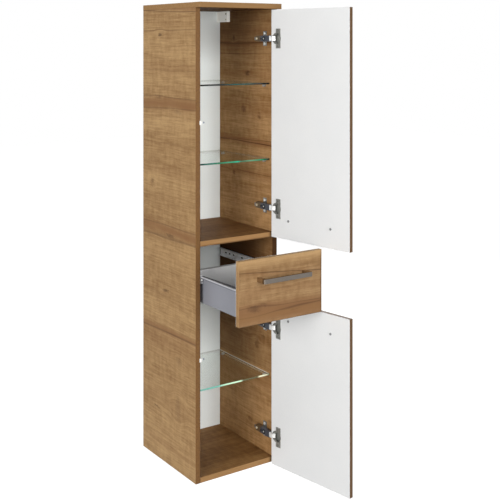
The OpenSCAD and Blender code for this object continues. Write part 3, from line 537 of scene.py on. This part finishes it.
# %% Oak on the boards
front_start = (0.0, -BODY_DEPTH, 0.0)
front_edge = (FRONT, BODY_DEPTH, EDGE_MID, 0.3)
raw_rear = (Y, 0.0, "chip", 0.3)
door_tone = tint(238, 239, 240)
# The doors' arris mark is a painted highlight along the outer arris of their narrow faces.
door_edge_highlight = (DOOR_OUT, DOOR_FACE, 0.006, tint(206, 182, 148), 0.9)
boards = {
    "side_panel_left": oak("oak left side", Y, Z, front_start, 0.0, SIDE_BANDS, SIDE_LINES, SIDE_KNOTS,
                           [(FRONT, BODY_DEPTH, EDGE_SIDE, 0.2), raw_rear], [(X, -0.1345, 0.0022, OAK_LINE, 0.9)]),
    # Painted shade on the right side: the darkest edge colour on its front edge, a nearly black line along its outer
    # arris beside the open door, and the shade zones on its inner face.
    "side_panel_right": oak("oak right side", Y, Z, front_start, 7.3, WALL_BANDS, WALL_LINES, WALL_KNOTS,
                            [(FRONT, BODY_DEPTH, EDGE_IN_SHADE, 0.6), raw_rear],
                            [(X, 0.1488, 0.0012, BLACK_SHADE, 0.9), (Y, -BODY_DEPTH, 0.006, OAK_LINE, 0.6)],
                            tone=tint(255, 246, 240), gloss=0.06, shade=(LEFT, -INNER, WALL_SHADE)),
    # The mark on the top board's underside is painted shade.
    "top_board": oak("oak top", X, Y, (-HALF_WIDTH, -TOP_DEPTH, 0.0), 3.1, [(0.1, 0.03, 0.0, 0.5)],
                     [(0.13, 0.002, 0.01, 0.5)], (),
                     [(FRONT, TOP_DEPTH, EDGE_FRONT, 0.2), (LEFT, HALF_WIDTH, EDGE_LIGHT, 0.0),
                      (X, HALF_WIDTH, EDGE_LIGHT, 0.2), raw_rear],
                     [(Z, TOP_UNDER, 0.0008, OAK_SHADE, 0.9)], gloss=0.04),
    # The bottom board and the shelf take a darker tone, painted shade for the dim inside of the cabinet; the mark on
    # the shelf's underside and lower arris is painted shade too.
    "bottom_board": oak("oak bottom", X, Y, front_start, 4.9, edges=[front_edge],
                        tone=tint(192, 178, 160), gloss=0.1),
    "mid_shelf": oak("oak shelf", X, Y, front_start, 6.2, edges=[front_edge],
                     marks=[(Z, SHELF_UNDER, 0.006, OAK_SHADE, 0.75)], tone=tint(180, 163, 144), gloss=0.1),
    "door_upper": oak("oak upper door", LATCHWARD, Z, tuple(HINGE), 9.7,
                      [(0.95, 0.03, 0.01, 0.7), (1.25, 0.02, 0.0, 0.5)],
                      [(0.925, 0.003, 0.01, 0.6), (1.268, 0.002, 0.02, 0.5)], [(0.1, 1.12, 0.02, 0.006, 0.6)],
                      door_edges(*UPPER_DOOR), tone=door_tone, arris=door_edge_highlight),
    "door_lower": oak("oak lower door", LATCHWARD, Z, tuple(HINGE), 11.2,
                      [(0.12, 0.03, 0.01, 0.6), (0.36, 0.02, 0.0, 0.5)],
                      [(0.145, 0.003, 0.01, 0.6), (0.345, 0.002, 0.02, 0.5)], [(0.1, 0.33, 0.02, 0.006, 0.6)],
                      door_edges(*LOWER_DOOR), tone=door_tone, arris=door_edge_highlight),
    # The drawer front's left edge takes the pale edge colour with no glue line, unlike its other edges: painted light
    # on the edge that faces the left lamp.
    "drawer_front": oak("oak drawer front", X, Z, (-HALF_WIDTH, -0.5, 0.0), 13.6,
                        [(0.550, 0.030, 0.0, 1.0), (0.535, 0.024, 0.0, 1.0), (0.600, 0.030, 0.0, 0.35),
                         (0.520, 0.018, 0.0, 0.5), (0.656, 0.012, -0.06, 0.3)],
                        [(0.6575, 0.0022, -0.075, 0.75), (0.537, 0.003, 0.03, 0.6), (0.556, 0.002, -0.01, 0.5)],
                        [(0.055, 0.550, 0.036, 0.008, 0.55), (0.085, 0.556, 0.022, 0.005, 0.45),
                         (0.2, 0.542, 0.03, 0.004, 0.4)],
                        [(LEFT, FRONT_HALF, EDGE_LIGHT, 0.0), (X, FRONT_HALF, EDGE_DOOR, 0.6),
                         (Z, DRAWER_FRONT[1], EDGE_DOOR, 0.5), (DOWN, -DRAWER_FRONT[0], EDGE_DOOR, 0.5)],
                        [(X, FRONT_HALF, 0.008, OAK_LINE, 0.85), (Z, 0.70, 0.05, OAK_LIGHT, 0.55),
                         (Z, 0.532, 0.018, OAK_DEEP, 0.35)], tint(230, 230, 234)),
}
for node, material in boards.items():
    dress(node, material)
print(len(boards), "oak boards")

# %% [markdown]
# ## The other finishes
# White melamine has a faint orange peel. Zinc plating shows a fine cloudy spangle, nickel plating is smoother, and the
# powder coat on the drawer's steel is finely pebbled. Each is the same few steps: a lump size, two colours, a roughness
# and a bump. Two of them need one thing more. The hangers' milky plastic gets a faint painted glow, which keeps it
# white in the shade of the top board. The white back panel gets a soft level stripe of painted shade below the top
# board.


# %% Pebbled and brushed finishes
def speckled(name, dark, light, scale, roughness, depth, metallic=0.0, shade_stripe=None, **more):
    """Lumps of one size between two colours, with the same lumps as bump and a little change in roughness.
    The stripe is (height, half height, face, colour, share): one soft level stripe of painted shade on the face that
    looks forward."""
    f = Finish(name)
    lump = f.lumps(scale, 3.0, 0.55)
    colour = f.blend(f.rise(lump * 0.7 + f.lumps(9.0) * 0.3, 0.3, 0.7), dark, light)
    if shade_stripe:
        height, half, face, grey, share = shade_stripe
        inside = f.rise(f.along(FRONT), face - 0.0010, face - 0.0002)
        colour = f.blend(f.hill(f.along(Z), height, half) * inside * share, colour, grey)
    return f.surface(Base_Color=colour, Roughness=lump * 0.12 + (roughness - 0.06), Metallic=metallic,
                     Normal=f.bump(lump, depth), **more)


finishes = {
    "facing": speckled("white melamine", tint(230, 231, 231), tint(238, 238, 237), 900.0, 0.42, 0.00003),
    # The back board's stripe is painted shade below the top board.
    "back_board": speckled("white hardboard", tint(240, 247, 246), tint(246, 252, 251), 500.0, 0.55, 0.00005,
                           shade_stripe=(1.300, 0.095, 0.021, tint(150, 146, 138), 0.42)),
    "dowel": speckled("beech", tint(190, 150, 104), tint(214, 178, 132), 300.0, 0.6, 0.0001),
    "support": speckled("clear grey plastic", tint(150, 146, 138), tint(182, 178, 170), 400.0, 0.35, 0.00002),
    "galvanised": speckled("zinc plating", tint(238, 239, 240), tint(252, 252, 253), 130.0, 0.45, 0.00003),
    "hinge_steel": speckled("nickel plating", tint(136, 136, 134), tint(168, 167, 164), 260.0, 0.34, 0.00002, 0.75),
    "screw_steel": speckled("screw plating", tint(244, 244, 241), tint(252, 252, 250), 500.0, 0.34, 0.00002, 0.3),
    "drawer_board": speckled("grey board", tint(216, 216, 216), tint(228, 228, 227), 900.0, 0.5, 0.00004),
    "nylon": speckled("white nylon", tint(244, 244, 240), tint(252, 252, 248), 500.0, 0.36, 0.00002),
    "buffer": speckled("soft buffer", tint(234, 233, 228), tint(244, 243, 239), 600.0, 0.5, 0.00003),
    "link_steel": speckled("bright nickel", tint(232, 232, 229), tint(245, 245, 242), 260.0, 0.36, 0.00002, 0.45),
    "cup_steel": speckled("cup nickel", tint(140, 140, 134), tint(166, 166, 160), 260.0, 0.36, 0.00002, 0.5),
    "stem_rubber": speckled("grey rubber", tint(120, 136, 156), tint(140, 156, 176), 600.0, 0.5, 0.00003),
    # The hangers' moulding gets a faint painted glow.
    "milky_plastic": speckled("milky moulding", tint(244, 244, 238), tint(251, 251, 246), 700.0, 0.38, 0.00003,
                              Emission_Color=tint(250, 248, 238), Emission_Strength=0.16),
    # The dark disc round each hinge's adjusting screw takes this finish: painted shade.
    "shade_collar": speckled("dark collar", tint(26, 28, 32), tint(38, 40, 44), 400.0, 0.4, 0.00002),
    "dull_screw": speckled("dull screw", tint(128, 129, 130), tint(156, 157, 158), 500.0, 0.4, 0.00002, 0.4),
    "cup_screw": speckled("cup screw", tint(128, 128, 122), tint(152, 152, 146), 500.0, 0.36, 0.00002, 0.5),
}
print(len(finishes), "more finishes")

# %% [markdown]
# The drawer's steel sides are coated in one grey. The folded lip on top of them gets a painted highlight, with painted
# shade on its inner side and a dark line of painted shade along its fold. These are drawn where they lie, at a height
# and a distance from the middle. Hinge arms and a few screws are plated all over, and their colour changes from one to
# another at a known place, as painted light and shade: the arms go from shade at the front to a reflection of the oak
# at the back, the arm screws from shade to a highlight, and the hangers' screws are shaded above a height, under the
# top board.


# %% Coated steel
LIP, FOLD = (0.6015, 0.6035), 0.5985


def coated_steel():
    """Finely pebbled grey, with a painted highlight on the lip and painted shade on its inner side and along its fold.
    """
    f = Finish("grey powder coat")
    pebble = f.lumps(1500.0, 2.0)
    colour = f.blend(f.rise(pebble * 0.6 + f.lumps(7.0) * 0.4, 0.3, 0.7), tint(136, 137, 145), tint(151, 152, 160))
    aside, lip = abs(f.along(X)), f.rise(f.along(Z), *LIP)
    # Painted highlight on the lip's top, painted shade on its inner side and along the fold.
    colour = f.blend(lip * f.rise(aside, 0.1256, 0.1270) * 0.9, colour, tint(222, 223, 226))
    colour = f.blend(lip * f.rise(aside, 0.1262, 0.1252), colour, tint(70, 70, 74))
    colour = f.blend(f.hill(f.along(Z), FOLD, 0.0040) * 0.8, colour, tint(84, 84, 90))
    return f.surface(Base_Color=colour, Roughness=pebble * 0.12 + 0.39, Normal=f.bump(pebble, 0.00004))


def painted_light_split(name, axis, low, high, first, second, metallic, roughness=0.36):
    """Fine lumps as on plated steel, in one colour below low along an axis and in another above high: painted light and
    shade on one piece.
    """
    f = Finish(name)
    lump = f.lumps(260.0)
    colour = f.blend(f.rise(f.along(axis), low, high), first, second)
    colour = f.blend(f.rise(lump, 0.3, 0.7) * 0.25, colour, tint(150, 150, 150), "SOFT_LIGHT")
    return f.surface(Base_Color=colour, Roughness=lump * 0.12 + (roughness - 0.06), Metallic=metallic,
                     Normal=f.bump(lump, 0.00002))


finishes["drawer_steel"] = coated_steel()
# The arms go from painted shade at the front to a painted reflection of the oak at the back, the arm screws from
# painted shade to a painted highlight, and the hanger screws take painted shade above a height.
finishes["arm_steel"] = painted_light_split("hinge arm nickel", Y, -0.276, -0.262, tint(96, 100, 110), tint(118, 98, 72), 0.5)
finishes["arm_screw"] = painted_light_split("hinge arm screws", Y, -0.264, -0.258, tint(58, 60, 66), tint(240, 228, 200), 0.2)
finishes["hanger_screw"] = painted_light_split("hanger screws", Z, 1.374, 1.378, tint(176, 174, 166), tint(58, 58, 60), 0.2)
print("the lip lies at", LIP[1], "m")

# %% [markdown]
# The handles are satin metal. Their broad outer face is brushed along its length and looks plain grey. The bar's narrow
# sides are smoother and painted darker, as shade, and the legs are painted paler and warm, as a reflection of the oak
# beside them. How far a point stands out from its front tells the three apart, so each handle needs the direction in
# which it stands out.


# %% Satin handles
def satin(name, outward, reach):
    """Brushed metal whose outer face lies at reach along outward, with painted shade on the bar's sides and a painted
    reflection of the oak on the legs.
    """
    f = Finish(name)
    face = f.rise(f.along(outward), reach - 0.0012, reach - 0.0003)
    hair = f.noise(f.vector(f.along(X) * 30.0, f.along(Y) * 30.0, f.along(Z) * 9000.0), 3.0, 0.6)
    brushed = f.blend(f.rise(hair * 0.8 + f.lumps(40.0) * 0.2, 0.3, 0.7), tint(103, 97, 91), tint(123, 116, 109))
    # Painted shade on the bar's sides, and a painted reflection of the oak on the legs.
    bar = f.rise(f.along(outward), reach - 0.0090, reach - 0.0080)
    smooth = f.blend(bar, tint(178, 164, 148), tint(122, 112, 101))
    colour = f.blend(face, smooth, brushed)
    return f.surface(Base_Color=colour, Roughness=face * 0.16 + hair * 0.08 + 0.20, Metallic=1.0,
                     Normal=f.bump(hair, 0.00001))


door_satin = satin("satin door handle", DOOR_OUT, DOOR_FACE + HANDLE_REACH)
own_finish = {
    "handle_upper": door_satin,
    "handle_lower": door_satin,
    "handle_drawer": satin("satin drawer handle", FRONT, DRAWER_FACE + HANDLE_REACH),
    **{f"hinge_links_{level}": finishes["link_steel"] for level in ("upper", "lower")},
    **{f"hinge_cups_{level}": finishes["cup_steel"] for level in ("upper", "lower")},
    **{f"cup_screws_{level}": finishes["cup_screw"] for level in ("upper", "lower")},
    **{f"handle_screws_{level}": finishes["dull_screw"] for level in ("upper", "lower", "drawer")},
    "hinge_arms": finishes["arm_steel"],
    "hanger_housings": finishes["milky_plastic"],
    "hanger_screws": finishes["hanger_screw"],
    "hinge_arm_screws": finishes["arm_screw"],
}
print("handles stand out to", round(DOOR_FACE + HANDLE_REACH, 4), "m")

# %% [markdown]
# ## Glass
# A shelf of float glass is 5 mm thick. Seen through its faces it is clear, and only its mirror image shows, more of it
# at a flat angle. Refracting glass would throw a black shadow in a renderer, so the faces let light straight through,
# mirror as much as Fresnel's law says, and are left out for rays that look for a lamp. Seen along, from its front edge,
# light has travelled through a quarter of a metre of glass and comes out green. Its brighter and darker stretches, and
# how dark or pale each shelf's front edge is, are painted light and reflection. The right edge of the lowest shelf gets
# a painted highlight above and painted shade below.


# %% Shelf glass
GLASS_FRONT, GLASS_REAR, GLASS_SIDE, SWEEP_HALF = (0.2906, 0.2914), (0.0229, 0.0223), (0.1320, 0.1327), 0.14


def shelf_glass(name, sweep, glint=None):
    """Clear faces, faint side and rear edges, and a front edge with a sweep of colours that paints light and
    reflection: (x, colour) in metres. Above the height glint the right edge gets a painted highlight, and below it
    painted shade."""
    f = Finish(name)
    front = f.rise(f.along(FRONT), *GLASS_FRONT)
    ends = f.most(f.rise(abs(f.along(X)), *GLASS_SIDE), f.rise(f.along(FRONT), *GLASS_REAR))
    wobble = (f.noise(f.vector(f.along(X) * 60.0, 0.0, 0.0), 2.0) - 0.5) * 0.02
    stops = [((x + SWEEP_HALF) / (2.0 * SWEEP_HALF), colour) for x, colour in sweep]
    across = (f.along(X) + SWEEP_HALF) / (2.0 * SWEEP_HALF) + wobble
    green_and_painted_light = f.add("ShaderNodeValToRGB", {"stops": stops}, _0=across).outputs[0]
    ground, show = tint(158, 150, 128), ends * 0.22
    if glint:
        # Painted highlight on the right edge above glint, and painted shade below it.
        right = f.rise(f.along(X), *GLASS_SIDE)
        edge = f.blend(f.rise(f.along(Z), glint - 0.0003, glint + 0.0003), tint(70, 56, 40), tint(255, 240, 216))
        ground, show = f.blend(right, ground, edge), f.most(show, right * 0.8)
    colour = f.blend(front, f.blend(ends, tint(226, 240, 234), ground), green_and_painted_light)
    mirror = Number(f, f.add("ShaderNodeFresnel", None, IOR=1.5).outputs[0])
    lit = Number(f, f.add("ShaderNodeLightPath").outputs["Is Shadow Ray"])
    alpha = f.most((mirror * 0.28 + 0.01) * (1.0 - lit), show, front)
    solid = f.most(front, ends)
    return f.surface(Base_Color=colour, Roughness=solid * 0.25 + f.lumps(18.0, 4.0) * 0.04, Metallic=1.0 - solid,
                     Alpha=alpha)


# The sweeps paint light and reflection over the glass's green: dark on the upper shelf, teal on the middle one, pale on
# the lowest.
own_finish["glass_shelf_top"] = shelf_glass("upper shelf glass", [
    (-0.13, tint(6, 14, 14)), (-0.045, tint(8, 20, 18)), (0.0, tint(22, 66, 58)), (0.055, tint(20, 60, 52)),
    (0.085, tint(8, 18, 16)), (0.13, tint(4, 10, 10))])
own_finish["glass_shelf_middle"] = shelf_glass("middle shelf glass", [
    (-0.13, tint(10, 40, 46)), (-0.085, tint(16, 112, 92)), (-0.05, tint(44, 116, 80)), (-0.01, tint(40, 140, 100)),
    (0.012, tint(18, 170, 130)), (0.024, tint(44, 84, 56)), (0.06, tint(92, 140, 104)), (0.10, tint(28, 128, 88)),
    (0.13, tint(14, 64, 56))])
own_finish["glass_shelf_lower"] = shelf_glass("lower shelf glass", [
    (-0.13, tint(112, 186, 172)), (-0.06, tint(116, 190, 172)), (-0.03, tint(196, 240, 200)),
    (0.024, tint(206, 244, 206)), (0.032, tint(82, 84, 52)), (0.086, tint(88, 86, 54)), (0.094, tint(236, 238, 200)),
    (0.122, tint(244, 242, 210)), (0.13, tint(150, 180, 140))], glint=0.2636)
for node, slot in slot_of.items():
    if node not in boards:
        dress(node, own_finish.get(node) or finishes[slot])
print("three shelves of glass")

# %% [markdown]
# ## Softened edges
# Nothing that is sawn, cast or pressed has a perfectly sharp edge, and the thin highlight along an edge is what the
# eye reads as real. A Bevel modifier rounds edges well once the mesh is clean: the solid's loose triangles are
# merged and its flat faces joined. Only edges that are long enough are rounded, because one tiny edge round a screw
# hole would otherwise hold all the others back.


# %% Rounding a solid
def softened(name, node, width, least=0.0, segments=2):
    """A copy of a solid with its sharp edges rounded, in place of the solid."""
    mesh = nodes[node].data.copy()
    mesh.name = name
    work = bmesh.new()
    work.from_mesh(mesh)
    bmesh.ops.remove_doubles(work, verts=work.verts, dist=2e-6)
    bmesh.ops.dissolve_limit(work, angle_limit=float(np.radians(0.5)), verts=work.verts, edges=work.edges,
                             use_dissolve_boundaries=False)
    weight = work.edges.layers.float.new("bevel_weight_edge")
    for edge in work.edges:
        if len(edge.link_faces) == 2 and edge.calc_length() > least and edge.calc_face_angle() > 0.5:
            edge[weight] = 1.0
    work.to_mesh(mesh)
    work.free()
    piece = added(name, mesh)
    bevel = piece.modifiers.new("rounded", "BEVEL")
    bevel.limit_method, bevel.width, bevel.segments, bevel.offset_type = "WEIGHT", width, segments, "OFFSET"
    bevel.use_clamp_overlap, bevel.miter_outer = True, "MITER_SHARP"
    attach(piece, body_of(nodes[node])[0])
    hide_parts(node)
    return piece


rounded = [softened(f"{node}_eased", node, 0.0005, 0.03) for node in boards]
rounded += [softened(f"{node}_eased", node, 0.0004, 0.03)
            for node in ("door_upper_facing", "door_lower_facing", "drawer_front_facing")]
print(len(rounded), "boards and facings with eased edges")

# %% [markdown]
# The metal and plastic pieces follow. Moulded plastic has the softest edges, the handles come next, and pressed sheet
# keeps a crisp bend. Shorter edges than on the boards are rounded here, since the pieces are small.

# %% Rounding the fittings
fittings = {
    "handle_upper": 0.0008, "handle_lower": 0.0008, "handle_drawer": 0.0008, "hanger_housings": 0.0010,
    "hinge_plates": 0.0005, "hinge_arms": 0.0003, "drawer_side_left": 0.0003, "drawer_side_right": 0.0003,
    "drawer_brackets": 0.0003, "drawer_back": 0.0006, "rail_left": 0.0002, "rail_right": 0.0002, "door_buffers": 0.0010,
}
for node, width in fittings.items():
    rounded.append(softened(f"{node}_eased", node, width, 0.0012, 3))
print(len(rounded), "rounded pieces")

# %% [markdown]
# ## Shelves of glass
# Each shelf is a slab with ground edges: its corners are cut, and every arris is taken off at a slant. A Bevel would
# do it too, but the slab is simple enough to be drawn clean from the start. Its outline is one ring of eight points,
# used at four heights, and drawn in a little at the lowest and the highest.


# %% A skin over rings
def loft(name, rings):
    """A closed skin over a stack of rings, given as an array of (ring, point, xyz). Neighbouring rings are joined
    by four-sided faces, and one flat face closes each end."""
    count, points = rings.shape[:2]
    i, j = np.meshgrid(np.arange(count - 1), np.arange(points), indexing="ij")
    k = (j + 1) % points
    quads = np.stack([i * points + j, i * points + k, (i + 1) * points + k, (i + 1) * points + j], -1).reshape(-1, 4)
    ends = [list(range(points))[::-1], list(range((count - 1) * points, count * points))]
    mesh = bpy.data.meshes.new(name)
    mesh.from_pydata(rings.reshape(-1, 3).tolist(), [], quads.tolist() + ends)
    return added(name, mesh)


def slab(name, node, cut, arris):
    """A plate as large as the node: corners cut off by cut, edges slanted by arris, seen from above anticlockwise."""
    low, high = (np.array(corner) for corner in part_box(node))
    signs = np.array([[1, -1], [1, -1], [1, 1], [1, 1], [-1, 1], [-1, 1], [-1, -1], [-1, -1]])
    pull = np.array([[1, 0], [0, 1], [0, 1], [1, 0], [1, 0], [0, 1], [0, 1], [1, 0]])
    middle, half = (low + high)[:2] / 2.0, (high - low)[:2] / 2.0
    outline = middle + signs * (half - pull * cut)
    inward = -signs * arris
    drawn = np.array([1.0, 0.0, 0.0, 1.0])[:, None, None] * inward[None] + outline[None]
    lift = np.array([low[2], low[2] + arris, high[2] - arris, high[2]])
    rings = np.concatenate([drawn, np.broadcast_to(lift[:, None, None], (4, 8, 1))], -1)
    piece = loft(name, rings)
    piece.data.materials.append(own_finish[node])
    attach(piece, "carcass")
    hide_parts(node)
    return piece


for level in ("top", "middle", "lower"):
    slab(f"{level}_glass_slab", f"glass_shelf_{level}", 0.0015, 0.0007)
print("three slabs with ground edges")

# %% [markdown]
# Each door buffer has a soft grey stem beside its pad, where it is pressed into its hole. Cylinders would do for the
# stem and its head, but a turned piece gets their small chamfers as well: a profile of radius against length is
# carried round an axis.


# %% Stems of the buffers
def turned(name, place, axis, profile, finish, points=24):
    """A solid of revolution: profile gives (distance along axis, radius) from one closed end to the other."""
    along = np.array(axis, float)
    side = np.cross(along, (0.0, 0.0, 1.0)) if abs(along[2]) < 0.9 else np.array([1.0, 0.0, 0.0])
    other = np.cross(along, side)
    around = np.linspace(0.0, 2.0 * np.pi, points, endpoint=False)
    circle = np.cos(around)[:, None] * side + np.sin(around)[:, None] * other
    profile = np.array(profile)
    rings = np.array(place) + profile[:, 0, None, None] * along + profile[:, 1, None, None] * circle[None]
    piece = loft(name, rings)
    piece.data.materials.append(finish)
    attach(piece, "carcass")
    return piece


stem = [(0.0, 0.0012), (0.0002, 0.0014), (0.0080, 0.0014), (0.0082, 0.0012)]
head = [(0.0082, 0.0020), (0.0086, 0.0025), (0.0108, 0.0025), (0.0118, 0.0020), (0.0122, 0.0008)]
BUFFER_X, BUFFER_Y = -0.1290, -0.3005
for level, height in (("upper", 1.0555), ("lower", 0.3595)):
    turned(f"{level}_buffer_stem", (BUFFER_X, BUFFER_Y, height), X, stem, finishes["buffer"])
    turned(f"{level}_buffer_head", (BUFFER_X, BUFFER_Y, height), X, head, finishes["stem_rubber"])
print("two stems with their heads")

# %% [markdown]
# The arm of a concealed hinge is set sideways by a screw near its front, and a dark disc of painted shade lies round
# it. Both are turned too, as the stems are, and lie on the face of each arm that looks into the cabinet.

# %% Adjusting screws of the hinges
arm_face = float(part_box("hinge_arms")[0][0])
shade_disc = [(0.0, 0.0066), (0.0003, 0.0071), (0.0006, 0.0071), (0.0008, 0.0066)]
adjuster = [(0.0008, 0.0016), (0.0010, 0.0019), (0.0013, 0.0019), (0.0016, 0.0014), (0.0017, 0.0006)]
HINGE_HEIGHTS, SCREW_Y = (0.0885, 0.4185, 0.7845, 1.3035), -0.2852
for number, height in enumerate(HINGE_HEIGHTS):
    place, slot = (arm_face, SCREW_Y, height), slot_of["hinge_arms"]
    # The dark disc round each adjusting screw is painted shade.
    turned(f"hinge_shade_disc_{number}", place, LEFT, shade_disc, finishes["shade_collar"])
    turned(f"hinge_adjuster_{number}", place, LEFT, adjuster, finishes["link_steel"])
print("four adjusting screws")
